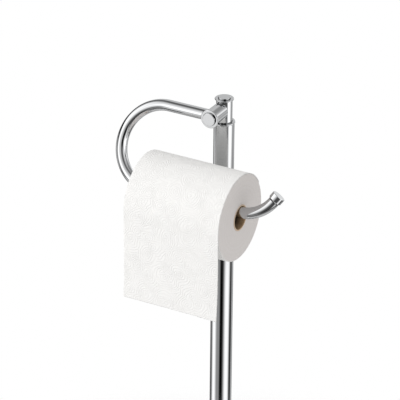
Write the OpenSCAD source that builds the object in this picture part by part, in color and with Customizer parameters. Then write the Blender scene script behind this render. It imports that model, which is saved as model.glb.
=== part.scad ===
// Freestanding toilet paper holder: a weighted round base, a post of two tubes and
// a turned head that carries a bent arm, shown with a roll of paper hung on it.
// The post stands on the Z axis, the floor is Z = 0, the roll lies along X and
// the paper comes off its front, towards -Y.

/* [Stand] */
// Height from the floor to the top of the cap button
stand_h = 650; // [520:5:800]
// Outer diameter of the upper post tube
post_d = 22; // [19:0.5:25]
// Wall of the upper post tube
post_wall = 1.2; // [0.8:0.1:2]
// Wall of the lower post tube, which the upper one slides into
lower_wall = 0.85; // [0.6:0.05:1.5]
// Length of the upper tube that shows above the lower one
upper_show = 106; // [80:2:160]
// How far the upper tube reaches into the lower one
joint_depth = 40; // [24:2:60]
// Length of the threaded plugs in the ends of the tubes
insert_len = 20; // [16:1:28]

/* [Base] */
// Outer diameter of the base
base_d = 178; // [150:2:220]
// Height of the base at its hub, where the post stands
base_h = 24; // [21:0.5:32]
// Height of the rim band round the base
rim_h = 9; // [7:0.5:12]
// Radius of the rim's upper edge
rim_round = 4; // [2:0.5:6]
// Width of the flat step between the rim and the dome
step_w = 7; // [3:0.5:12]
// Height of the crown of the dome above the floor
dome_h = 19.5; // [16:0.5:20.5]
// Diameter of the raised hub
hub_d = 44; // [40:1:60]
// Radius of the hub's upper edge
hub_round = 2.5; // [1:0.5:4]
// Sheet thickness of the pressed cover
cover_wall = 1; // [0.6:0.1:1.5]
// Gap between the cover's rim and the floor
floor_gap = 1; // [0.5:0.1:1.5]
// Height of the flat part of the cast weight
weight_h = 13; // [10:0.5:15]
// Width of the pad ring under the base
pad_w = 12; // [6:1:20]
// Thickness of the pad ring
pad_t = 2.2; // [2:0.1:3]
// Distance of the pad ring from the edge of the base
pad_inset = 8; // [6:1:16]
// Diameter of the ring round the foot of the post
foot_ring_d = 35; // [31:0.5:38]
// Height of the ring round the foot of the post
foot_ring_h = 6; // [4:0.5:10]

/* [Base bolt] */
// Thread diameter of the bolt that holds the post to the base
bolt_d = 8; // [6:1:10]
// Length of the bolt's shank under its head
bolt_len = 30; // [26:1:34]
// Diameter of the bolt's head
bolt_head_d = 13; // [12:0.5:16]
// Height of the bolt's head
bolt_head_h = 8; // [5:0.5:8]
// Key size of the bolt's socket
bolt_key = 6; // [4:0.5:7]
// Outer diameter of the plain washer
washer_d = 20; // [16:0.5:24]
// Thickness of the plain washer
washer_t = 1.6; // [1:0.1:2]
// Thickness of the spring washer
spring_washer_t = 2; // [1.4:0.1:2.2]

/* [Head] */
// Diameter of the neck above the post
neck_d = 17.2; // [15:0.2:20]
// Height of the neck between its collar and its cap
neck_h = 24.8; // [24:0.2:32]
// How far the collar stands proud of the post
collar_lip = 0.8; // [0.4:0.1:3]
// Thickness of the collar
collar_t = 1.8; // [1.2:0.1:3]
// Diameter of the flange of the top cap
cap_d = 20.2; // [18.5:0.2:26]
// Thickness of both cap flanges
flange_t = 1.2; // [1:0.1:2.4]
// Diameter of the button on the top cap
cap_button_d = 13; // [9:0.5:15]
// Height of the button on the top cap
cap_button_h = 1.6; // [1:0.1:4]
// Depth from the top of the neck to the axis of the boss
boss_drop = 10.2; // [9.5:0.1:11]
// Thread diameter of the studs between the tubes and between the post and the neck
neck_stud_d = 8; // [6:0.5:9]
// Depth of the upper stud in the neck
neck_stud_depth = 10; // [6:0.5:11]

/* [Boss] */
// Diameter of the boss
boss_d = 17.4; // [16:0.2:18.4]
// Diameter of the flange of the boss cap
boss_cap_d = 20.4; // [19:0.2:24]
// Diameter of the button on the boss cap
boss_button_d = 14.4; // [10:0.4:16]
// Height of the button on the boss cap
boss_button_h = 2; // [1:0.1:4]
// Depth of the shadow groove between the boss and its cap
groove_w = 0.5; // [0.3:0.1:1]
// Thread diameter of the stud between the boss and the neck
boss_stud_d = 6; // [4:0.5:6]
// Diameter of the plug's nose that enters the boss
nose_d = 7.4; // [6:0.2:8]
// Thread diameter of the grub screw under the boss
grub_d = 4; // [3:0.5:5]
// Key size of the grub screw
grub_key = 2; // [1.5:0.5:2.5]

/* [Arm] */
// Outer diameter of the arm tube
arm_d = 12.2; // [10:0.1:14]
// Wall of the arm tube
arm_wall = 1.2; // [0.8:0.1:2]
// Centre-line radius of the large bend at the closed end
bend_r = 44.8; // [38:0.2:50]
// How far the plane of the arm leans forward from upright
arm_lean = 27.5; // [20:0.5:35]
// Centre-line radius of the upturned tip
tip_r = 40; // [30:1:60]
// Angle through which the tip turns up
tip_angle = 59; // [40:1:75]
// Length of the solid plug in the arm where it meets the boss
plug_len = 15; // [8:1:30]
// Diameter of the cap on the tip
tip_cap_d = 14.6; // [13.5:0.1:17]
// Length of the cap beyond the end of the tube
tip_cap_len = 8.3; // [6:0.1:12]

/* [Roll] */
// Width of the paper roll
roll_w = 111.5; // [95:0.5:125]
// Diameter of the paper roll
roll_d = 94; // [70:0.5:110]
// Outer diameter of the cardboard core
core_d = 28; // [26:0.2:44]
// Thickness of the cardboard
core_wall = 1.3; // [0.8:0.1:2]
// Gap between the roll and the upper post tube
roll_post_gap = 6.8; // [3:0.1:16]
// Length of the loose sheet below the level of the roll's axis
sheet_drop = 99; // [40:1:200]
// Thickness that the embossed sheet takes up
sheet_t = 0.5; // [0.4:0.1:1]
// How far round the roll the loose sheet still lies
sheet_wrap = 150; // [90:5:165]

/* [Hidden] */
$fn = 96;

// Clearances
// Gap between parts that are pressed or screwed together
seat_gap = 0.05;
// Gap between a thread and its hole, in radius
thread_gap = 0.1;
// Gap between the cast weight and the cover
weight_gap = 0.4;
// Running gap between soft parts and what they lie on
soft_gap = 0.3;
// Gap between the arm and the core that hangs on it
hang_gap = 0.45;
// Overrun of every cutting shape
over = 1;

// Small sizes of the turned parts
edge_r = 0.5;
lip_chamfer = 0.4;
tip_chamfer = 1.8;
tip_edge = 0.4;
tip_spigot_len = 5;
tip_spigot_gap = 0.5;
cap_spigot_len = 5;
cap_spigot_d = 8;
boss_spigot_len = 2.2;
boss_spigot_d = 11;
boss_front_wall = 1;
boss_seat = 0.6;
boss_stud_depth = 10;
paper_round = 1;
split_w = 1.6;

// How far the roll's closed end reaches past the start of the large bend
bend_inset = 4.5;
// How far the roll's open end reaches past the start of the tip
tip_inset = 0.5;
// How far the roll sits towards the large bend
roll_shift = 0.5;

// Radii
post_r = post_d / 2;
post_in_r = post_r - post_wall;
lower_in_r = post_r + seat_gap;
lower_r = lower_in_r + lower_wall;
neck_r = neck_d / 2;
boss_r = boss_d / 2;
arm_r = arm_d / 2;
arm_in_r = arm_r - arm_wall;
base_r = base_d / 2;
hub_r = hub_d / 2;
roll_r = roll_d / 2;
core_r = core_d / 2;
core_in_r = core_r - core_wall;

// Heights of the head
neck_top_z = stand_h - cap_button_h - flange_t;
collar_z = neck_top_z - neck_h - collar_t;
neck_z = collar_z + collar_t;
boss_z = neck_top_z - boss_drop;

// Heights of the joint in the post: the lower tube's lip and the upper tube's foot
lip_z = collar_z - upper_show;
joint_z = lip_z - joint_depth;

// The arm: its top run, its lower run and the roll that hangs on it
arm_drop = 2 * bend_r * cos(arm_lean);
arm_throw = 2 * bend_r * sin(arm_lean);
roll_y = -(post_r + roll_post_gap + roll_r);
arm_y = -roll_y - arm_throw;
core_drop = core_in_r - arm_r - hang_gap;
roll_z = boss_z - arm_drop - core_drop;
roll_x = -roll_shift - roll_w / 2;
bend_x = roll_x + bend_inset;
tip_x = roll_x + roll_w - tip_inset;

// The boss: distances in front of the post axis
boss_back = neck_r - boss_seat;
boss_face = arm_y + arm_r + boss_front_wall;

// The base bolt: from its head up
bolt_seat_z = floor_gap + edge_r + bolt_head_h + spring_washer_t + washer_t;
bolt_head_z = bolt_seat_z - washer_t - spring_washer_t - bolt_head_h;

chrome = [0.80, 0.81, 0.83];
steel = [0.62, 0.63, 0.65];
iron = [0.30, 0.30, 0.31];
rubber = [0.12, 0.12, 0.13];
paper = [0.97, 0.965, 0.955];
card = [0.70, 0.57, 0.41];

// A disc of thickness t with a fully rounded rim, and a hole if asked for
module rim_disc(r, t, hole_r = 0) {
    rotate_extrude()
        difference() {
            union() {
                square([r - t / 2, t]);
                translate([r - t / 2, t / 2])
                    circle(d = t);
            }
            translate([-over, -over])
                square([hole_r + over, t + 2 * over]);
        }
}

// A round button with a softened upper edge
module button(r, h, edge = edge_r) {
    rotate_extrude()
        union() {
            square([r, h - edge]);
            square([r - edge, h]);
            translate([r - edge, h - edge])
                circle(r = edge);
        }
}

// A ring along Z between two heights
module ring(r_out, r_in, z0, z1) {
    translate([0, 0, z0])
        difference() {
            cylinder(r = r_out, h = z1 - z0);
            translate([0, 0, -over])
                cylinder(r = r_in, h = z1 - z0 + 2 * over);
        }
}

// A hexagonal key socket that opens downward at z = 0
module key_socket(key, depth) {
    translate([0, 0, -over])
        cylinder(d = key / cos(30), h = depth + over, $fn = 6);
}

// Places children so that their Z runs forward from the post along the boss
module at_boss() {
    translate([0, 0, boss_z])
        rotate([90, 0, 0])
            children();
}

// Places children so that their Z runs along the arm, away from the boss
module at_arm_root() {
    translate([0, -arm_y, boss_z])
        rotate([0, -90, 0])
            children();
}

// Places children in the leaning plane of the arm: X along the runs, Z up in it
module in_arm_plane() {
    translate([0, -arm_y, boss_z])
        rotate([-arm_lean, 0, 0])
            children();
}

// Places children so that their Z runs along the roll from its closed end
module at_roll() {
    translate([roll_x, roll_y, roll_z])
        rotate([0, 90, 0])
            children();
}

// Half outline of the base, shrunk all over by inset
module base_outline(inset = 0) {
    r = base_r - inset;
    top = rim_h - inset;
    edge = rim_round - inset / 2;
    dome_edge = base_r - step_w;
    crown = dome_h - rim_h;
    dome_r = (dome_edge * dome_edge + crown * crown) / (2 * crown);
    union() {
        square([r, top - edge]);
        square([r - edge, top]);
        translate([r - edge, top - edge])
            circle(r = edge);
        intersection() {
            translate([0, dome_h - dome_r])
                circle(r = dome_r - inset, $fn = 360);
            square([dome_edge, base_h]);
        }
        square([hub_r - inset, base_h - inset - hub_round]);
        square([hub_r - inset - hub_round, base_h - inset]);
        translate([hub_r - inset - hub_round, base_h - inset - hub_round])
            circle(r = hub_round);
    }
}

// The part of the base outline above a height
module base_slice(inset, z0) {
    intersection() {
        base_outline(inset);
        translate([0, z0])
            square([base_d, base_h]);
    }
}

// One straight length of arm tube along X
module arm_straight(r, x0, x1) {
    translate([x0, 0, 0])
        rotate([0, 90, 0])
            cylinder(r = r, h = x1 - x0);
}

// One bend of arm tube in the XZ plane about a centre
module arm_bend(r, radius, centre, from, sweep) {
    translate([centre[0], 0, centre[1]])
        rotate([90, 0, 0])
            rotate([0, 0, from])
                rotate_extrude(angle = sweep)
                    translate([radius, 0])
                        circle(r = r);
}

// The whole path of the arm as a solid of one radius
module arm_path(r) {
    arm_straight(r, bend_x, -boss_r / 2);
    arm_bend(r, bend_r, [bend_x, -bend_r], 90, 180);
    translate([0, 0, -2 * bend_r])
        arm_straight(r, bend_x, tip_x);
    arm_bend(r, tip_r, [tip_x, tip_r - 2 * bend_r], -90, tip_angle);
}

module base_pad() {
    color(rubber)
        ring(base_r - pad_inset, base_r - pad_inset - pad_w, 0, pad_t);
}

module base_weight() {
    fit = cover_wall + weight_gap;
    color(iron)
        difference() {
            rotate_extrude()
                union() {
                    intersection() {
                        base_slice(fit, floor_gap);
                        square([base_d, weight_h]);
                    }
                    intersection() {
                        base_slice(cover_wall + seat_gap, floor_gap);
                        square([hub_r - 2 * fit, base_h]);
                    }
                }
            ring(base_r - pad_inset + seat_gap, base_r - pad_inset - pad_w - seat_gap,
                -over, pad_t + seat_gap);
            translate([0, 0, -over])
                cylinder(r = bolt_d / 2 + thread_gap, h = base_h + over);
            translate([0, 0, -over])
                cylinder(r = washer_d / 2 + weight_gap, h = bolt_seat_z + over);
        }
}

module base_cover() {
    color(chrome)
        difference() {
            rotate_extrude()
                difference() {
                    base_slice(0, floor_gap);
                    base_slice(cover_wall, 0);
                }
            translate([0, 0, base_h / 2])
                cylinder(r = bolt_d / 2 + thread_gap, h = base_h);
        }
}

module base_bolt() {
    color(steel)
        translate([0, 0, bolt_head_z])
            difference() {
                union() {
                    translate([0, 0, bolt_head_h])
                        mirror([0, 0, 1])
                            button(bolt_head_d / 2, bolt_head_h);
                    cylinder(d = bolt_d, h = bolt_head_h + bolt_len);
                }
                key_socket(bolt_key, bolt_head_h / 2);
            }
}

module base_spring_washer() {
    z0 = bolt_head_z + bolt_head_h;
    color(steel)
        difference() {
            ring(bolt_head_d / 2, bolt_d / 2 + thread_gap, z0, z0 + spring_washer_t);
            translate([0, -split_w / 2, z0 - over])
                cube([bolt_head_d, split_w, spring_washer_t + 2 * over]);
        }
}

module base_washer() {
    color(steel)
        ring(washer_d / 2, bolt_d / 2 + thread_gap, bolt_seat_z - washer_t, bolt_seat_z);
}

module foot_ring() {
    step_r = (lower_r + foot_ring_d / 2) / 2;
    color(chrome)
        translate([0, 0, base_h])
            difference() {
                union() {
                    rim_disc(foot_ring_d / 2, foot_ring_h / 2);
                    button(step_r, foot_ring_h, foot_ring_h / 4);
                }
                translate([0, 0, -over])
                    cylinder(r = lower_r + seat_gap, h = foot_ring_h + 2 * over);
            }
}

module foot_insert() {
    color(steel)
        ring(lower_in_r - seat_gap, bolt_d / 2 + thread_gap, base_h, base_h + insert_len);
}

module post_tube() {
    color(chrome)
        rotate_extrude()
            polygon([[lower_in_r, base_h], [lower_r, base_h], [lower_r, lip_z - lip_chamfer],
                [lower_r - lip_chamfer, lip_z], [lower_in_r, lip_z]]);
}

module joint_seat() {
    color(steel)
        ring(lower_in_r - seat_gap, neck_stud_d / 2 + thread_gap, joint_z - insert_len, joint_z);
}

module joint_stud() {
    color(steel)
        translate([0, 0, joint_z - insert_len + edge_r])
            cylinder(d = neck_stud_d, h = 2 * (insert_len - edge_r));
}

module joint_insert() {
    color(steel)
        ring(post_in_r - seat_gap, neck_stud_d / 2 + thread_gap, joint_z, joint_z + insert_len);
}

module post_upper() {
    color(chrome)
        ring(post_r, post_in_r, joint_z, collar_z);
}

module post_top_insert() {
    color(steel)
        ring(post_in_r - seat_gap, neck_stud_d / 2 + thread_gap, collar_z - insert_len, collar_z);
}

module neck_stud() {
    low = collar_z - insert_len + edge_r;
    color(steel)
        translate([0, 0, low])
            cylinder(d = neck_stud_d, h = neck_z + neck_stud_depth - low);
}

module neck_collar() {
    color(chrome)
        translate([0, 0, collar_z])
            rim_disc(post_r + collar_lip, collar_t, neck_stud_d / 2 + thread_gap);
}

module head_neck() {
    color(chrome)
        difference() {
            translate([0, 0, neck_z])
                cylinder(r = neck_r, h = neck_h);
            translate([0, 0, neck_z - over])
                cylinder(r = neck_stud_d / 2 + thread_gap, h = neck_stud_depth + edge_r + over);
            translate([0, 0, neck_top_z - cap_spigot_len - edge_r])
                cylinder(r = cap_spigot_d / 2 + seat_gap, h = cap_spigot_len + edge_r + over);
            at_boss()
                translate([0, 0, -boss_stud_d / 2 - edge_r])
                    cylinder(r = boss_stud_d / 2 + thread_gap, h = neck_r + boss_stud_d);
        }
}

module top_cap() {
    color(chrome)
        translate([0, 0, neck_top_z])
            union() {
                rim_disc(cap_d / 2, flange_t);
                translate([0, 0, flange_t])
                    button(cap_button_d / 2, cap_button_h);
                translate([0, 0, -cap_spigot_len])
                    cylinder(d = cap_spigot_d, h = cap_spigot_len + flange_t);
            }
}

module boss_body() {
    color(chrome)
        difference() {
            at_boss()
                translate([0, 0, boss_back])
                    cylinder(r = boss_r, h = boss_face - boss_back);
            translate([0, 0, boss_z - boss_d])
                cylinder(r = neck_r + seat_gap, h = 2 * boss_d);
            at_boss()
                translate([0, 0, boss_face - boss_spigot_len - seat_gap])
                    cylinder(r = boss_spigot_d / 2 + seat_gap, h = boss_spigot_len + over);
            at_boss()
                cylinder(r = boss_stud_d / 2 + thread_gap, h = neck_r + boss_stud_depth + edge_r);
            at_arm_root()
                translate([0, 0, -nose_d / 2 - edge_r])
                    cylinder(r = nose_d / 2 + seat_gap, h = boss_d);
            translate([0, -arm_y, boss_z - boss_d])
                cylinder(r = grub_d / 2 + thread_gap, h = boss_d);
        }
}

module boss_stud() {
    color(steel)
        at_boss()
            translate([0, 0, -boss_stud_d / 2])
                cylinder(d = boss_stud_d, h = boss_stud_d / 2 + neck_r + boss_stud_depth);
}

module boss_cap() {
    color(chrome)
        at_boss()
            translate([0, 0, boss_face])
                union() {
                    translate([0, 0, -boss_spigot_len])
                        cylinder(d = boss_spigot_d, h = boss_spigot_len + groove_w);
                    cylinder(r = boss_r - 2 * edge_r, h = groove_w + edge_r);
                    translate([0, 0, groove_w])
                        rim_disc(boss_cap_d / 2, flange_t);
                    translate([0, 0, groove_w + flange_t])
                        button(boss_button_d / 2, boss_button_h);
                }
}

module arm_plug() {
    nose_in = nose_d / 2;
    shoulder = boss_r + soft_gap;
    color(steel)
        at_arm_root()
            union() {
                translate([0, 0, -nose_in])
                    cylinder(d = nose_d, h = nose_in + shoulder + plug_len);
                translate([0, 0, shoulder])
                    cylinder(r = arm_in_r - seat_gap, h = plug_len);
            }
}

module grub_screw() {
    low = boss_z - boss_r + edge_r;
    color(steel)
        translate([0, -arm_y, low])
            difference() {
                cylinder(d = grub_d, h = boss_r - edge_r - nose_d / 2 - seat_gap);
                key_socket(grub_key, grub_key);
            }
}

module roll_arm() {
    color(chrome)
        difference() {
            in_arm_plane()
                difference() {
                    arm_path(arm_r);
                    arm_path(arm_in_r);
                }
            at_boss()
                cylinder(r = boss_r + seat_gap, h = boss_face + arm_d);
        }
}

module arm_tip_cap() {
    cap_r = tip_cap_d / 2;
    color(chrome)
        in_arm_plane()
            translate([tip_x, 0, tip_r - 2 * bend_r])
                rotate([0, -tip_angle, 0])
                    translate([0, 0, -tip_r])
                        rotate([0, 90, 0])
                            union() {
                                rotate_extrude()
                                    polygon([[0, 0], [arm_r - edge_r, 0],
                                        [arm_r - edge_r, edge_r], [arm_r, edge_r],
                                        [cap_r, tip_chamfer], [cap_r, tip_cap_len - tip_edge],
                                        [cap_r - tip_edge, tip_cap_len], [0, tip_cap_len]]);
                                translate([0, 0, -tip_spigot_len])
                                    cylinder(r = arm_in_r - tip_spigot_gap, h = 2 * tip_spigot_len);
                            }
}

// Side view of the loose sheet: round the roll to the front, then straight down
module sheet_outline() {
    in_r = roll_r + soft_gap;
    out_r = in_r + sheet_t;
    bare = 270 - sheet_wrap;
    difference() {
        union() {
            circle(r = out_r);
            square([out_r, sheet_drop]);
        }
        circle(r = in_r);
        square([in_r, sheet_drop + over]);
        polygon(concat([[0, 0]],
            [for (k = [0:3]) 2 * out_r * [cos(90 + k * bare / 3), sin(90 + k * bare / 3)]]));
    }
}

module paper_sheet() {
    color(paper)
        at_roll()
            rotate([0, 0, -90])
                linear_extrude(height = roll_w)
                    sheet_outline();
}

module paper_roll() {
    color(paper)
        at_roll()
            rotate_extrude()
                union() {
                    translate([core_r, 0])
                        square([roll_r - paper_round - core_r, roll_w]);
                    translate([core_r, paper_round])
                        square([roll_r - core_r, roll_w - 2 * paper_round]);
                    translate([roll_r - paper_round, paper_round])
                        circle(r = paper_round);
                    translate([roll_r - paper_round, roll_w - paper_round])
                        circle(r = paper_round);
                }
}

module roll_core() {
    color(card)
        at_roll()
            ring(core_r, core_in_r, 0, roll_w);
}

base_pad();
base_weight();
base_cover();
base_bolt();
base_spring_washer();
base_washer();
foot_ring();
foot_insert();
post_tube();
joint_seat();
joint_stud();
joint_insert();
post_upper();
post_top_insert();
neck_stud();
neck_collar();
head_neck();
top_cap();
boss_body();
boss_stud();
boss_cap();
arm_plug();
grub_screw();
roll_arm();
arm_tip_cap();
paper_sheet();
paper_roll();
roll_core();
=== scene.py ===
"""Freestanding toilet paper holder: materials, paper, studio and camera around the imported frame."""
import math

import bpy
import numpy as np
from mathutils import Matrix, Vector


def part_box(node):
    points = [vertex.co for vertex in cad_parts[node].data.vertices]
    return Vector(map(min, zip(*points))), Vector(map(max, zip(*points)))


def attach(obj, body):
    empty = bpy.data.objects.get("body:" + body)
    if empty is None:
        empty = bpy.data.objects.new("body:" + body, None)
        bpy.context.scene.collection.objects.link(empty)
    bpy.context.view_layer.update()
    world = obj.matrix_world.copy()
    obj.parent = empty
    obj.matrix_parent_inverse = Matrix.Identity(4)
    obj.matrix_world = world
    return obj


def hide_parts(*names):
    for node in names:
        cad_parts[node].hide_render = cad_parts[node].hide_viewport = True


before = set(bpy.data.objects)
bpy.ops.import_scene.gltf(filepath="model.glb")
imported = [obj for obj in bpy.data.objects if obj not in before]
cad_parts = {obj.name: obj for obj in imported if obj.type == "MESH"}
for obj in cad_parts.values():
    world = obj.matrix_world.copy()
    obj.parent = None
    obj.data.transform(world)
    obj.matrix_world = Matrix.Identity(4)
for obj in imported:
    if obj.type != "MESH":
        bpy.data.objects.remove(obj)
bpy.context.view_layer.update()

MM = 0.001
FULL_TURN = 2 * math.pi

# The photograph's frame and its camera, fitted to the flanges, the post and the roll
PHOTO_PX = 400.0
FOCAL_PX = 3057.0
SENSOR = 36.0
CLIP_NEAR = 0.1
CLIP_FAR = 50.0
AZIMUTH = math.radians(28.74)
ELEVATION = math.radians(26.75)
ROLL_ANGLE = math.radians(0.539)
MM_PER_PX = 1.039
CAP_PIXEL = (224.4, 98.5)
CAP_POINT = Vector((0.0, 0.0, 0.6478))


def make_camera():
    """The photograph's camera, aimed so that the middle of the top flange falls on its pixel."""
    right = Vector((math.cos(AZIMUTH), math.sin(AZIMUTH), 0.0))
    back = Vector((math.sin(AZIMUTH) * math.cos(ELEVATION),
                   -math.cos(AZIMUTH) * math.cos(ELEVATION),
                   math.sin(ELEVATION)))
    up = back.cross(right)
    cam_x = math.cos(ROLL_ANGLE) * right + math.sin(ROLL_ANGLE) * up
    cam_y = -math.sin(ROLL_ANGLE) * right + math.cos(ROLL_ANGLE) * up
    distance = FOCAL_PX * MM_PER_PX * MM
    shift_x = (CAP_PIXEL[0] - PHOTO_PX / 2) * MM_PER_PX * MM
    shift_y = (PHOTO_PX / 2 - CAP_PIXEL[1]) * MM_PER_PX * MM
    place = CAP_POINT + distance * back - shift_x * cam_x - shift_y * cam_y
    data = bpy.data.cameras.new("photo_camera")
    data.sensor_width = SENSOR
    data.lens = FOCAL_PX * SENSOR / PHOTO_PX
    data.clip_start = CLIP_NEAR
    data.clip_end = CLIP_FAR
    camera = bpy.data.objects.new("photo_camera", data)
    axes = Matrix((cam_x, cam_y, back)).transposed()
    camera.matrix_world = Matrix.Translation(place) @ axes.to_4x4()
    bpy.context.scene.collection.objects.link(camera)
    bpy.context.scene.camera = camera


# Short ways to build node trees
MIX_A, MIX_B, MIX_RESULT = 6, 7, 2


def feed(tree, node, values):
    """Sets a node's inputs to numbers and colours, or links them to the outputs of other nodes."""
    for key, value in values.items():
        if isinstance(value, bpy.types.NodeSocket):
            tree.links.new(value, node.inputs[key])
        else:
            node.inputs[key].default_value = value


def add(tree, kind, values=None, out=0, **props):
    """Adds a shader node, feeds its inputs, and returns one of its outputs."""
    made = tree.nodes.new("ShaderNode" + kind)
    for key, value in props.items():
        setattr(made, key, value)
    feed(tree, made, values or {})
    return made.outputs[out]


def calc(tree, operation, *values):
    """A math node."""
    return add(tree, "Math", dict(enumerate(values)), operation=operation)


def weigh(tree, *pairs):
    """The sum of some numbers, each times its weight."""
    (value, weight), *rest = pairs
    part = calc(tree, "MULTIPLY", value, weight)
    if not rest:
        return part
    return calc(tree, "ADD", part, weigh(tree, *rest))


def remap(tree, value, source, target=(0.0, 1.0), smooth=False):
    """A number brought from the source range to the target range."""
    ranges = {"Value": value, "From Min": source[0], "From Max": source[1],
              "To Min": target[0], "To Max": target[1]}
    kind = "SMOOTHSTEP" if smooth else "LINEAR"
    return add(tree, "MapRange", ranges, interpolation_type=kind)


def noise(tree, vector, scale=1.0, detail=2.0, rough=0.5):
    """Grey noise from 0 to 1."""
    return add(tree, "TexNoise", {"Vector": vector, "Scale": scale, "Detail": detail,
                                  "Roughness": rough})


def stretch(tree, vector, scale):
    """A vector scaled by axis."""
    return add(tree, "Mapping", {"Vector": vector, "Scale": scale})


def axes_of(tree, vector):
    """The X, Y and Z of a vector."""
    return add(tree, "SeparateXYZ", {"Vector": vector}).node.outputs


def blend_colour(tree, factor, dark, light):
    """Two colours mixed by a factor: each is red, green and blue, or another node's output."""
    sides = [side if isinstance(side, bpy.types.NodeSocket) else (*side, 1.0)
             for side in (dark, light)]
    return add(tree, "Mix", {"Factor": factor, MIX_A: sides[0], MIX_B: sides[1]},
               out=MIX_RESULT, data_type="RGBA")


def bump(tree, height, depth, strength=1.0, below=None):
    """A bump node, on top of another one if given."""
    values = {"Height": height, "Distance": depth, "Strength": strength}
    if below is not None:
        values["Normal"] = below
    return add(tree, "Bump", values)


def new_material(name):
    """An empty material with a principled shader: returns the material, its tree and the shader."""
    material = bpy.data.materials.new(name)
    material.use_nodes = True
    tree = material.node_tree
    return material, tree, tree.nodes["Principled BSDF"]


def place_of(tree):
    """The object's own coordinates, in metres."""
    return add(tree, "TexCoord", out="Object")


# Metals, rubber and iron
CHROME_DARK = (0.535, 0.541, 0.549)
CHROME_LIGHT = (0.575, 0.578, 0.582)
# The colour below is painted shade for crevices and where parts meet; the reach two lines down is how
# far it spreads.
CHROME_PAINTED_SHADE = (0.050, 0.050, 0.052)
CHROME_GLANCING = (0.76, 0.765, 0.77, 1.0)
PAINTED_SHADE_REACH = 1.4 * MM
ZINC_DARK = (0.46, 0.48, 0.50)
ZINC_LIGHT = (0.62, 0.61, 0.57)
BLACK_STEEL_DARK = (0.018, 0.018, 0.02)
BLACK_STEEL_LIGHT = (0.05, 0.05, 0.055)
IRON_DARK = (0.020, 0.020, 0.021)
IRON_LIGHT = (0.060, 0.058, 0.056)
RUBBER_DARK = (0.014, 0.014, 0.015)
RUBBER_LIGHT = (0.035, 0.034, 0.033)


def make_chrome():
    """Bright chrome plate: mirror finish, faint wiping haze, slight waviness, and painted shade that
    darkens the colour in crevices and where parts meet.
    """
    material, tree, shader = new_material("polished_chrome")
    spot = place_of(tree)
    haze = noise(tree, spot, scale=42.0, detail=4.0, rough=0.6)
    wipes = noise(tree, stretch(tree, spot, (260.0, 260.0, 22.0)), detail=3.0, rough=0.55)
    tint = blend_colour(tree, haze, CHROME_DARK, CHROME_LIGHT)
    # Painted shade: the colour goes almost black close to other surfaces, in crevices and where parts
    # meet.
    painted_shade_occlusion = add(tree, "AmbientOcclusion", {"Distance": PAINTED_SHADE_REACH}, out="AO", samples=8)
    free_of_painted_shade = remap(tree, painted_shade_occlusion, (0.40, 0.85), smooth=True)
    cloud = calc(tree, "MULTIPLY", haze, wipes)
    wave = noise(tree, spot, scale=120.0)
    feed(tree, shader, {
        "Base Color": blend_colour(tree, free_of_painted_shade, CHROME_PAINTED_SHADE, tint),
        "Metallic": 1.0,
        "Specular Tint": CHROME_GLANCING,
        "Roughness": remap(tree, cloud, (0.12, 0.5), (0.025, 0.07)),
        "Normal": bump(tree, wave, 0.02 * MM, strength=0.25),
    })
    return material


def make_zinc():
    """Zinc-plated steel: grey, faintly blue and yellow, with turning marks."""
    material, tree, shader = new_material("zinc_plated_steel")
    spot = place_of(tree)
    patch = noise(tree, spot, scale=90.0, detail=4.0)
    lathe = noise(tree, stretch(tree, spot, (30.0, 30.0, 4000.0)))
    feed(tree, shader, {
        "Base Color": blend_colour(tree, patch, ZINC_DARK, ZINC_LIGHT),
        "Metallic": 1.0,
        "Roughness": remap(tree, patch, (0.3, 0.7), (0.28, 0.45)),
        "Normal": bump(tree, lathe, 0.02 * MM, strength=0.5),
    })
    return material


def make_black_steel():
    """Oiled black steel of the small screw."""
    material, tree, shader = new_material("black_steel")
    patch = noise(tree, place_of(tree), scale=300.0, detail=3.0)
    feed(tree, shader, {
        "Base Color": blend_colour(tree, patch, BLACK_STEEL_DARK, BLACK_STEEL_LIGHT),
        "Metallic": 0.9,
        "Roughness": remap(tree, patch, (0.3, 0.7), (0.35, 0.5)),
        "Normal": bump(tree, patch, 0.02 * MM, strength=0.4),
    })
    return material


def make_iron():
    """Sand-cast iron with a thin black paint."""
    material, tree, shader = new_material("cast_iron")
    spot = place_of(tree)
    grain = noise(tree, spot, scale=900.0, detail=3.0, rough=0.65)
    swell = noise(tree, spot, scale=110.0, detail=3.0)
    coarse = bump(tree, swell, 0.4 * MM, strength=0.5)
    feed(tree, shader, {
        "Base Color": blend_colour(tree, grain, IRON_DARK, IRON_LIGHT),
        "Metallic": 0.25,
        "Roughness": remap(tree, swell, (0.3, 0.7), (0.55, 0.75)),
        "Normal": bump(tree, grain, 0.25 * MM, strength=0.8, below=coarse),
    })
    return material


def make_rubber():
    """Black foam rubber with fine open pores."""
    material, tree, shader = new_material("foam_rubber")
    spot = place_of(tree)
    pores = add(tree, "TexVoronoi", {"Vector": spot, "Scale": 1500.0, "Randomness": 1.0})
    wear = noise(tree, spot, scale=60.0, detail=4.0)
    feed(tree, shader, {
        "Base Color": blend_colour(tree, wear, RUBBER_DARK, RUBBER_LIGHT),
        "Roughness": remap(tree, wear, (0.3, 0.7), (0.8, 0.95)),
        "Normal": bump(tree, pores, 0.2 * MM, strength=0.5),
    })
    return material


# Sizes of the roll, its core and the loose sheet, from the frame
roll_low, roll_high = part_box("paper_roll")
core_low, core_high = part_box("roll_core")
sheet_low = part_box("paper_sheet")[0]
AXIS_Y = (roll_low.y + roll_high.y) / 2
AXIS_Z = (roll_low.z + roll_high.z) / 2
ROLL_R = (roll_high.z - roll_low.z) / 2
ROLL_X0 = roll_low.x
ROLL_X1 = roll_high.x
CORE_R = (core_high.z - core_low.z) / 2
CORE_WALL = 1.3 * MM
CORE_MIDDLE = (core_low.x + core_high.x) / 2
CORE_HALF = (core_high.x - core_low.x) / 2
LAYER = 0.42 * MM
SHEET_DROP = AXIS_Z - sheet_low.z

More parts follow.
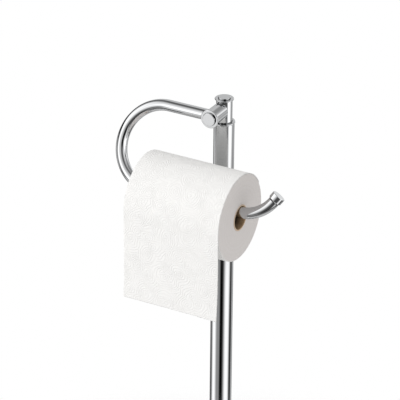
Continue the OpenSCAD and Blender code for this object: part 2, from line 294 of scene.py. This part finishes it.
# Paper and card
PAPER_DARK = (0.895, 0.885, 0.868)
PAPER_LIGHT = (0.925, 0.917, 0.903)
RING_PITCH = 2.4 * MM
MOTIF_PITCH = 17.0 * MM
EMBOSS_DEPTH = 0.27 * MM
EMBOSS_DRIFT = (10 * MM, 10 * MM, 0.0)
EDGE_DARK = (0.885, 0.838, 0.808)
EDGE_LIGHT = (0.935, 0.893, 0.872)
BOARD_DARK = (0.37, 0.24, 0.13)
BOARD_LIGHT = (0.60, 0.42, 0.25)
# The colour below is painted shade, which the board's faces take towards the middle of the core.
BOARD_PAINTED_SHADE = (0.025, 0.018, 0.012)
CUT_DARK = (0.74, 0.57, 0.41)
CUT_LIGHT = (0.92, 0.75, 0.58)
# Painted shade in the core: full from CORE_SHADE inside each end, none within CORE_LIT of it.
CORE_SHADE = 13 * MM
CORE_LIT = 0.5 * MM


def make_tissue():
    """Embossed tissue seen on its face: nests of rings that meet all over, crepe and loose fibre."""
    material, tree, shader = new_material("embossed_tissue")
    flat = add(tree, "UVMap", uv_map="sheet_metres")
    spot = place_of(tree)
    drift = add(tree, "TexNoise", {"Vector": flat, "Scale": 60.0, "Detail": 1.0}, out="Color")
    bent = add(tree, "VectorMath", {0: drift, 1: EMBOSS_DRIFT, 2: flat}, operation="MULTIPLY_ADD")
    nest = add(tree, "TexVoronoi", {"Vector": bent, "Scale": 1.0 / MOTIF_PITCH, "Randomness": 0.9},
               voronoi_dimensions="2D")
    waved = calc(tree, "SINE", calc(tree, "MULTIPLY", nest, FULL_TURN * MOTIF_PITCH / RING_PITCH))
    rings = remap(tree, waved, (-0.7, 0.7), smooth=True)
    press = remap(tree, noise(tree, flat, scale=48.0, detail=1.0), (0.35, 0.65), (0.75, 1.0))
    relief = calc(tree, "MULTIPLY", rings, press)
    crepe = noise(tree, stretch(tree, flat, (260.0, 3400.0, 1.0)), detail=3.0, rough=0.6)
    fibre = noise(tree, spot, scale=2600.0, detail=4.0, rough=0.7)
    cloud = noise(tree, spot, scale=55.0, detail=3.0)
    tone = weigh(tree, (fibre, 0.85), (cloud, 0.15))
    fine = bump(tree, fibre, 0.06 * MM, strength=0.5)
    lines = bump(tree, crepe, 0.05 * MM, strength=0.5, below=fine)
    feed(tree, shader, {
        "Base Color": blend_colour(tree, remap(tree, tone, (0.35, 0.65)), PAPER_DARK, PAPER_LIGHT),
        "Roughness": remap(tree, fibre, (0.3, 0.7), (0.86, 0.98)),
        "Specular IOR Level": 0.2,
        "Sheen Weight": 0.08,
        "Sheen Roughness": 0.6,
        "Normal": bump(tree, relief, EMBOSS_DEPTH, below=lines),
    })
    return material


def make_windings():
    """The end of the wound roll: the edges of its layers as one fine spiral."""
    material, tree, shader = new_material("wound_paper_edge")
    spot = place_of(tree)
    axes = axes_of(tree, spot)
    dy = calc(tree, "SUBTRACT", axes["Y"], AXIS_Y)
    dz = calc(tree, "SUBTRACT", axes["Z"], AXIS_Z)
    radius = calc(tree, "SQRT", calc(tree, "ADD", calc(tree, "MULTIPLY", dy, dy),
                                     calc(tree, "MULTIPLY", dz, dz)))
    turn = calc(tree, "DIVIDE", calc(tree, "ARCTAN2", dz, dy), FULL_TURN)
    wander = calc(tree, "MULTIPLY", noise(tree, spot, scale=160.0), 0.9)
    count = calc(tree, "ADD", calc(tree, "DIVIDE", radius, LAYER), turn)
    saw = calc(tree, "FRACT", calc(tree, "ADD", count, wander))
    ridge = calc(tree, "ABSOLUTE", calc(tree, "SUBTRACT", calc(tree, "MULTIPLY", saw, 2.0), 1.0))
    fibre = noise(tree, spot, scale=2200.0, detail=4.0, rough=0.7)
    packing = add(tree, "TexNoise", {"W": calc(tree, "MULTIPLY", radius, 420.0), "Scale": 1.0,
                                     "Detail": 3.0}, noise_dimensions="1D")
    tone = weigh(tree, (ridge, 0.35), (packing, 0.4), (fibre, 0.25))
    fine = bump(tree, fibre, 0.08 * MM, strength=0.6)
    feed(tree, shader, {
        "Base Color": blend_colour(tree, remap(tree, tone, (0.3, 0.7)), EDGE_DARK, EDGE_LIGHT),
        "Roughness": 0.95,
        "Specular IOR Level": 0.15,
        "Normal": bump(tree, ridge, 0.08 * MM, strength=0.6, below=fine),
    })
    return material


def make_card(name, dark, light, painted_shade=None):
    """Fibrous board of the core: grey-brown on its faces, paler where it is cut.

    The last argument, if given, is painted shade: the colour that the faces take towards the middle
    of the core, where little light comes.
    """
    material, tree, shader = new_material(name)
    spot = place_of(tree)
    fibre = noise(tree, stretch(tree, spot, (500.0, 1400.0, 1400.0)), detail=4.0, rough=0.65)
    blotch = noise(tree, spot, scale=130.0, detail=3.0)
    tone = weigh(tree, (fibre, 0.6), (blotch, 0.4))
    tint = blend_colour(tree, remap(tree, tone, (0.35, 0.65)), dark, light)
    # Painted shade: the faces darken towards the middle of the core, away from both ends.
    if painted_shade is not None:
        from_middle = calc(tree, "ABSOLUTE", calc(tree, "SUBTRACT", axes_of(tree, spot)["X"],
                                                  CORE_MIDDLE))
        outside_painted_shade = remap(tree, from_middle, (CORE_HALF - CORE_SHADE, CORE_HALF - CORE_LIT),
                      smooth=True)
        tint = blend_colour(tree, outside_painted_shade, painted_shade, tint)
    feed(tree, shader, {
        "Base Color": tint,
        "Roughness": 0.88,
        "Specular IOR Level": 0.25,
        "Normal": bump(tree, fibre, 0.08 * MM, strength=0.6),
    })
    return material


# Short ways to build meshes
WAVE_COUNT = 7
WAVE_LENGTHS = (0.6, 1.8)


def grid_faces(rows, cols, wrap_cols=False, wrap_rows=False):
    """Quads of a grid of points, row by row, closed along its columns or rows if asked for."""
    step = np.arange(cols if wrap_cols else cols - 1)
    following = (step + 1) % cols
    faces = []
    for row in range(rows if wrap_rows else rows - 1):
        low = row * cols
        high = (row + 1) % rows * cols
        faces.append(np.stack([low + step, low + following, high + following, high + step], 1))
    return np.concatenate(faces)


def make_mesh(name, points, faces, materials, face_material=None, uv=None):
    """A smooth mesh object from arrays. uv gives two numbers for each corner of each face."""
    data = bpy.data.meshes.new(name)
    data.from_pydata(points.tolist(), [], faces.tolist())
    for material in materials:
        data.materials.append(material)
    data.polygons.foreach_set("use_smooth", np.ones(len(faces), bool))
    if face_material is not None:
        data.polygons.foreach_set("material_index", face_material.astype(np.int32))
    if uv is not None:
        layer = data.uv_layers.new(name="sheet_metres")
        layer.data.foreach_set("uv", uv.astype(np.float32).ravel())
    data.update()
    made = bpy.data.objects.new(name, data)
    bpy.context.scene.collection.objects.link(made)
    return made


def waves(seed, u, v, reach):
    """Gentle seeded unevenness from -1 to 1 over two coordinates in metres.

    WAVE_LENGTHS are the shortest and the longest wave, as shares of the reach.
    """
    rng = np.random.default_rng(seed)
    total = np.zeros(np.broadcast(u, v).shape)
    for _ in range(WAVE_COUNT):
        length = reach * rng.uniform(*WAVE_LENGTHS)
        heading, phase = rng.uniform(0, FULL_TURN, 2)
        along = u * math.cos(heading) + v * math.sin(heading)
        total = total + np.sin(FULL_TURN * along / length + phase)
    return total / WAVE_COUNT


def round_axis(x, radius, angle):
    """Points at a place along the roll's axis, a distance from it and an angle round it."""
    y = AXIS_Y + radius * np.cos(angle)
    z = AXIS_Z + radius * np.sin(angle)
    return np.stack(np.broadcast_arrays(x, y, z), -1)


# The wound roll: how fine its mesh is, and how its rims and ends depart from a plain cylinder
ROLL_TURNS = 384
ROLL_END_RINGS = 72
ROLL_FACE_RINGS = 92
RIM = 1.6 * MM
RIM_STEPS = 8
RIM_EDGE_ROWS = 2
RIM_END_SHARE = 0.5
BORE_PLAY = 0.03 * MM
LAYER_SEED = 11
LAYER_DRAWS = 200
LAYERS_TOGETHER = 2.2
END_INSET = 0.10 * MM
LAYER_LIFT = 0.05 * MM
END_DISH = 0.14 * MM
SOFT_SEED = 5
SOFT_REACH = 30 * MM
SOFT_DEPTH = 0.03 * MM


def roll_profile(inner):
    """Half section of the roll: place along the axis, distance from it, share of an end's form."""
    radii = np.linspace(inner, ROLL_R - RIM, ROLL_END_RINGS)
    bend = np.linspace(0, math.pi / 2, RIM_STEPS + 1)[1:-1]
    rim = [(RIM * (1 - math.cos(a)), ROLL_R - RIM * (1 - math.sin(a))) for a in bend]
    profile = [(ROLL_X0, r, 1.0) for r in radii]
    profile += [(ROLL_X0 + inset, r, RIM_END_SHARE) for inset, r in rim]
    face = np.linspace(ROLL_X0 + RIM, ROLL_X1 - RIM, ROLL_FACE_RINGS)
    profile += [(x, ROLL_R, 0.0) for x in face]
    profile += [(ROLL_X1 - inset, r, RIM_END_SHARE) for inset, r in rim[::-1]]
    profile += [(ROLL_X1, r, 1.0) for r in radii[::-1]]
    return np.array(profile)


def make_roll(tissue, windings):
    """The wound roll: embossed outside, softened rims and ends whose layers stand unevenly."""
    inner = CORE_R + BORE_PLAY
    profile = roll_profile(inner)
    rows = len(profile)
    angle = np.linspace(0, FULL_TURN, ROLL_TURNS, endpoint=False)
    x, r, end = (column[:, None] + np.zeros(ROLL_TURNS) for column in profile.T)
    layers = np.random.default_rng(LAYER_SEED).normal(0, 1, LAYER_DRAWS)
    spiral = (r - inner) / LAYER / LAYERS_TOGETHER + angle / FULL_TURN
    index = np.clip(spiral.astype(int), 0, LAYER_DRAWS - 2)
    share = spiral - index
    lift = layers[index] * (1 - share) + layers[index + 1] * share
    inwards = np.where(x > 0, -1.0, 1.0)
    dish = END_DISH * ((r - inner) / (ROLL_R - inner)) ** 2
    x = x + end * inwards * np.clip(END_INSET + LAYER_LIFT * lift + dish, 0.0, None)
    soft = waves(SOFT_SEED, x, angle * ROLL_R + 0 * x, SOFT_REACH)
    r = r + (1 - end) * SOFT_DEPTH * (soft - 1.0)
    points = round_axis(x, r, angle).reshape(-1, 3)
    faces = grid_faces(rows, ROLL_TURNS, wrap_cols=True, wrap_rows=True)

    quad_row = np.repeat(np.arange(rows), ROLL_TURNS)
    quad_turn = np.tile(np.arange(ROLL_TURNS), rows)
    first = ROLL_END_RINGS + RIM_EDGE_ROWS
    outside = (quad_row >= first) & (quad_row <= rows - 2 - first)
    girth = FULL_TURN * ROLL_R
    u_a = quad_turn / ROLL_TURNS * girth
    u_b = (quad_turn + 1) / ROLL_TURNS * girth
    v_a = profile[quad_row, 0]
    v_b = profile[(quad_row + 1) % rows, 0]
    uv = np.stack([np.stack([v_a, u_a], -1), np.stack([v_a, u_b], -1),
                   np.stack([v_b, u_b], -1), np.stack([v_b, u_a], -1)], 1)
    made = make_mesh("wound_roll", points, faces, [tissue, windings], np.where(outside, 0, 1), uv)
    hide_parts("paper_roll")
    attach(made, "roll")


# The loose sheet: how it lies on the roll, hangs and ends
WRAP = math.radians(150)
SHEET_THICK = 0.28 * MM
SHEET_ROWS = 232
SHEET_COLS = 116
SETTLE_SHARE = 0.45
LIFT_AT_START = -0.16 * MM
LIFT_ON_ROLL = 0.18 * MM
BELLY = 0.45 * MM
FALL_FORWARD = 0.9 * MM
RIPPLE_SEED = 21
RIPPLE_REACH = 50 * MM
RIPPLE_DEPTH = 0.35 * MM
CURL_START = 0.8
CURL_DEPTH = 1.6 * MM
CURL_MIDDLE = 0.35
TEAR_DEPTH = 0.16 * MM
TEAR_PITCH = 1.25 * MM
TAPER = 0.5 * MM


def make_sheet(tissue):
    """The loose end: lies on the roll from behind the top, leaves it at the front and hangs."""
    arc = ROLL_R * WRAP
    total = arc + SHEET_DROP
    along, width = np.broadcast_arrays(np.linspace(0, total, SHEET_ROWS)[:, None],
                                       np.linspace(ROLL_X0, ROLL_X1, SHEET_COLS)[None, :])
    on_roll = np.clip(along, 0, arc)
    turn = WRAP - on_roll / ROLL_R
    settle = np.clip(on_roll / (SETTLE_SHARE * arc), 0, 1)
    settle = settle * settle * (3 - 2 * settle)
    radius = ROLL_R + LIFT_AT_START + (LIFT_ON_ROLL - LIFT_AT_START) * settle
    hang = np.clip(along - arc, 0, None)
    share = hang / SHEET_DROP
    across = (width - ROLL_X0) / (ROLL_X1 - ROLL_X0)
    ripple = waves(RIPPLE_SEED, width, along, RIPPLE_REACH)
    curl = np.clip((share - CURL_START) / (1 - CURL_START), 0, 1) ** 2
    last_row = np.arange(SHEET_ROWS)[:, None] == SHEET_ROWS - 1

    x = width - share * TAPER * (across - 0.5)
    y = AXIS_Y - radius * np.cos(turn)
    y = y + BELLY * np.sin(math.pi * share) - FALL_FORWARD * share ** 3
    y = y - share * RIPPLE_DEPTH * ripple * (1 + share)
    y = y - curl * CURL_DEPTH * (across - CURL_MIDDLE) ** 2
    z = AXIS_Z + radius * np.sin(turn) - hang
    z = z - last_row * TEAR_DEPTH * np.abs(np.sin(math.pi * width / TEAR_PITCH))
    points = np.stack([x, y, z], -1).reshape(-1, 3)
    faces = grid_faces(SHEET_ROWS, SHEET_COLS)
    uv_point = np.stack([width, ROLL_R * math.pi + along], -1).reshape(-1, 2)
    made = make_mesh("loose_sheet", points, faces, [tissue], uv=uv_point[faces.ravel()])
    thick = made.modifiers.new("thickness", "SOLIDIFY")
    thick.thickness = SHEET_THICK
    thick.offset = 0.0
    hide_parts("paper_sheet")
    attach(made, "stand")


# The core: two plies, each with a spiral joint, and cut ends that are swollen and rough
CORE_TURNS = 180
CORE_ROWS = 64
CORE_OVERHANG = 0.2 * MM
PLY_PITCH = 62 * MM
JOINT_WIDTH = 0.9 * MM
OUTER_JOINT = (0.05 * MM, 0.4)
INNER_JOINT = (0.22 * MM, 0.0)
CUT_DEPTH_SHARES = (0.25, 0.5, 0.75)
CUT_SWELL = 0.08 * MM
CUT_ROUGHNESS = 0.05 * MM
CUT_REACH = 6 * MM
CUT_SEEDS = (31, 32)


def make_core(board, cut):
    """The cardboard core: two spirally wound plies with a butt joint that shows inside."""
    angle = np.linspace(0, FULL_TURN, CORE_TURNS, endpoint=False)
    x0 = core_low.x - CORE_OVERHANG
    x1 = core_high.x + CORE_OVERHANG
    lengths = np.linspace(x0, x1, CORE_ROWS)

    def joint(x, depth, phase):
        """Depth of a ply's joint at one place along the core, all round it."""
        turn = (x / PLY_PITCH + angle / FULL_TURN + phase) % 1.0
        near = np.minimum(turn, 1 - turn) * PLY_PITCH
        return depth * np.exp(-(near / JOINT_WIDTH) ** 2)

    def cut_end(x_end, outwards, shares, seed):
        """Rings across the thickness of the board at one end."""
        rough = CUT_ROUGHNESS * waves(seed, angle * CORE_R, 0 * angle, CUT_REACH)
        return [(x_end + outwards * (CUT_SWELL * math.sin(math.pi * share) + rough),
                 CORE_R - share * CORE_WALL) for share in shares]

    rings = [(x, CORE_R - joint(x, *OUTER_JOINT)) for x in lengths]
    rings += cut_end(x1, 1.0, CUT_DEPTH_SHARES, CUT_SEEDS[0])
    rings += [(x, CORE_R - CORE_WALL + joint(x, *INNER_JOINT)) for x in lengths[::-1]]
    rings += cut_end(x0, -1.0, CUT_DEPTH_SHARES[::-1], CUT_SEEDS[1])
    points = np.concatenate([round_axis(x, r, angle) for x, r in rings])
    faces = grid_faces(len(rings), CORE_TURNS, wrap_cols=True, wrap_rows=True)

    quad_row = np.repeat(np.arange(len(rings)), CORE_TURNS)
    steps = len(CUT_DEPTH_SHARES) + 1
    first_end = (quad_row >= CORE_ROWS - 1) & (quad_row < CORE_ROWS - 1 + steps)
    second_end = quad_row >= len(rings) - steps
    made = make_mesh("card_core", points, faces, [board, cut],
                     np.where(first_end | second_end, 1, 0))
    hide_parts("roll_core")
    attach(made, "roll")


# Softboxes, cards and flags of the studio that the chrome mirrors, each laid over those before it:
# its name, where its middle stands (azimuth and elevation), its half width and half height, how soft
# its edges are across and upright, all in degrees, and how bright it is. Azimuth 0 is +X, 90 is +Y.
STUDIO_BASE = 0.19
STUDIO = [
    ("pale wall behind", (55, 20), (80, 45), (10, 60), 0.9),
    ("grey screen before it", (65, 40), (35, 16), (20, 20), 0.45),
    ("bright shelf at the back", (53, 10), (10, 5), (10, 8), 1.5),
    ("its dark edge", (52, -3), (10, 2), (6, 3), 0.4),
    ("large softbox at the front left", (-140, 20), (35, 30), (65, 30), 2.35),
    ("soft light above the front", (-115, 50), (35, 20), (45, 65), 0.95),
    ("dark screen at the front", (-40, -15), (50, 20), (30, 30), 0.1),
    ("small softbox at the front right", (-15, 8), (30, 14), (40, 15), 1.7),
    ("large softbox at the right", (12, -4), (22, 24), (34, 6), 2.25),
    ("black flag low at the right", (40, -42), (30, 15), (50, 5), 0.1),
    ("black flag at the left", (-175, -4), (30, 22), (45, 5), 0.0),
    ("pale card on it", (178, -15), (12, 13), (30, 4), 1.1),
    ("white card low behind", (70, -55), (10, 30), (10, 10), 0.9),
    ("black flag at the front", (-50, 16), (20, 16), (35, 6), 0.0),
    ("pale card high at the front right", (5, 32), (25, 10), (40, 10), 1.2),
    ("pale card high at the front left", (-92, 30), (14, 10), (16, 10), 1.0),
    ("small lamp behind", (92, 4), (8, 9), (4, 4), 2.35),
    ("foot of the large softbox", (-125, 5), (11, 18), (7, 7), 2.0),
    ("pale card under it", (-122, -22), (12, 5), (14, 5), 1.3),
    ("dark gap between them", (-112, -17), (9, 3), (12, 4), 0.3),
    ("grey strip low at the front", (-110, -32), (30, 5), (20, 3), 0.45),
    ("strip lamp low at the left", (-145, -32), (22, 5), (32, 3), 1.8),
    ("black strip low at the front", (-66, -32), (14, 5), (20, 3), 0.0),
    ("strip lamp low at the right", (-7, -36), (26, 9), (38, 3), 1.8),
    ("black strip beside it", (37, -32), (8, 5), (20, 3), 0.05),
]
ROOM_LIGHT = 0.77
ROOM_TILT = (-0.21, -0.11, -0.04)
DEGREES = 180 / math.pi


def within(tree, distance, half, soft):
    """1 inside half of a softbox's size, 0 outside it, with an edge as wide as soft."""
    return remap(tree, distance, (half - soft / 2, half + soft / 2), (1.0, 0.0), smooth=True)


def make_world():
    """White for the camera, soft even light for the object, and a studio for the chrome to mirror."""
    world = bpy.data.worlds.new("studio")
    bpy.context.scene.world = world
    world.use_nodes = True
    tree = world.node_tree
    tree.nodes.clear()
    heading = add(tree, "TexCoord", out="Generated")
    axes = axes_of(tree, heading)
    flat = add(tree, "VectorMath", {0: add(tree, "CombineXYZ", {"X": axes["X"], "Y": axes["Y"]})},
               operation="NORMALIZE")
    height = calc(tree, "MULTIPLY", calc(tree, "ARCSINE", axes["Z"]), DEGREES)
    mirrored = STUDIO_BASE
    for _, (azimuth, elevation), half, soft, bright in STUDIO:
        aim = (math.cos(math.radians(azimuth)), math.sin(math.radians(azimuth)), 0.0)
        facing = add(tree, "VectorMath", {0: flat, 1: aim}, out="Value", operation="DOT_PRODUCT")
        facing = calc(tree, "MINIMUM", calc(tree, "MAXIMUM", facing, -1.0), 1.0)
        aside = calc(tree, "MULTIPLY", calc(tree, "ARCCOSINE", facing), DEGREES)
        above = calc(tree, "ABSOLUTE", calc(tree, "SUBTRACT", height, elevation))
        mask = calc(tree, "MULTIPLY", within(tree, aside, half[0], soft[0]),
                    within(tree, above, half[1], soft[1]))
        kept = calc(tree, "MULTIPLY", mirrored, calc(tree, "SUBTRACT", 1.0, mask))
        mirrored = calc(tree, "ADD", kept, calc(tree, "MULTIPLY", mask, bright))
    tilt = add(tree, "VectorMath", {0: heading, 1: ROOM_TILT}, out="Value", operation="DOT_PRODUCT")
    room = calc(tree, "ADD", tilt, ROOM_LIGHT)
    ray = add(tree, "LightPath").node.outputs
    glossy = ray["Is Glossy Ray"]
    camera = ray["Is Camera Ray"]
    light = calc(tree, "ADD", calc(tree, "MULTIPLY", glossy, mirrored),
                 calc(tree, "MULTIPLY", calc(tree, "SUBTRACT", 1.0, glossy), room))
    light = calc(tree, "ADD", camera,
                 calc(tree, "MULTIPLY", calc(tree, "SUBTRACT", 1.0, camera), light))
    sky = add(tree, "Background", {"Color": (1.0, 1.0, 1.0, 1.0), "Strength": light})
    output = tree.nodes.new("ShaderNodeOutputWorld")
    tree.links.new(sky, output.inputs["Surface"])


# One large soft lamp
KEY_FROM = Vector((-0.45, -0.65, 0.61))
KEY_AIM = Vector((0.0, -0.03, 0.5))
KEY_DISTANCE = 2.2
KEY_SIZE = 1.1
KEY_POWER = 14.5


def make_key():
    """A square softbox from the front, left and above, which the chrome doesn't mirror."""
    data = bpy.data.lights.new("key_softbox", "AREA")
    data.shape = "SQUARE"
    data.size = KEY_SIZE
    data.energy = KEY_POWER
    lamp = bpy.data.objects.new("key_softbox", data)
    lamp.location = KEY_AIM + KEY_FROM.normalized() * KEY_DISTANCE
    lamp.rotation_euler = KEY_FROM.to_track_quat("Z", "Y").to_euler()
    lamp.visible_glossy = False
    lamp.visible_camera = False
    bpy.context.scene.collection.objects.link(lamp)


# Pale floor
FLOOR_DARK = (0.93, 0.93, 0.93)
FLOOR_LIGHT = (0.96, 0.96, 0.96)
FLOOR_HUB = 4 * MM
FLOOR_RADIUS = 0.54
FLOOR_RINGS = 24
FLOOR_TURNS = 128
FLOOR_FADE = 0.30
FLOOR_GONE = 0.98 * FLOOR_RADIUS


def make_floor():
    """A round of pale floor under the stand, which fades out before the camera's view."""
    angle = np.linspace(0, FULL_TURN, FLOOR_TURNS, endpoint=False)
    radii = np.linspace(FLOOR_HUB, FLOOR_RADIUS, FLOOR_RINGS)
    points = [np.stack([r * np.cos(angle), r * np.sin(angle), 0 * angle], -1) for r in radii]
    faces = grid_faces(FLOOR_RINGS, FLOOR_TURNS, wrap_cols=True).tolist()
    hub = list(range(FLOOR_TURNS))[::-1]
    data = bpy.data.meshes.new("floor")
    data.from_pydata(np.concatenate(points).tolist(), [], faces + [hub])
    material, tree, shader = new_material("pale_floor")
    spot = place_of(tree)
    grain = noise(tree, spot, scale=700.0, detail=3.0)
    away = add(tree, "VectorMath", {0: spot}, out="Value", operation="LENGTH")
    feed(tree, shader, {
        "Base Color": blend_colour(tree, grain, FLOOR_DARK, FLOOR_LIGHT),
        "Roughness": 0.9,
        "Specular IOR Level": 0.1,
        "Alpha": remap(tree, away, (FLOOR_FADE, FLOOR_GONE), (1.0, 0.0), smooth=True),
    })
    data.materials.append(material)
    floor = bpy.data.objects.new("floor", data)
    bpy.context.scene.collection.objects.link(floor)


# The whole scene
finishes = {"chrome": make_chrome(), "zinc_steel": make_zinc(), "black_steel": make_black_steel(),
            "iron": make_iron(), "pad": make_rubber()}
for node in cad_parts.values():
    for slot in node.material_slots:
        if slot.material and slot.material.name in finishes:
            slot.material = finishes[slot.material.name]

tissue = make_tissue()
make_roll(tissue, make_windings())
make_sheet(tissue)
make_core(make_card("core_board", BOARD_DARK, BOARD_LIGHT, BOARD_PAINTED_SHADE),
          make_card("core_cut_edge", CUT_DARK, CUT_LIGHT))

make_floor()
make_world()
make_key()
make_camera()
bpy.context.scene.view_settings.view_transform = "Standard"
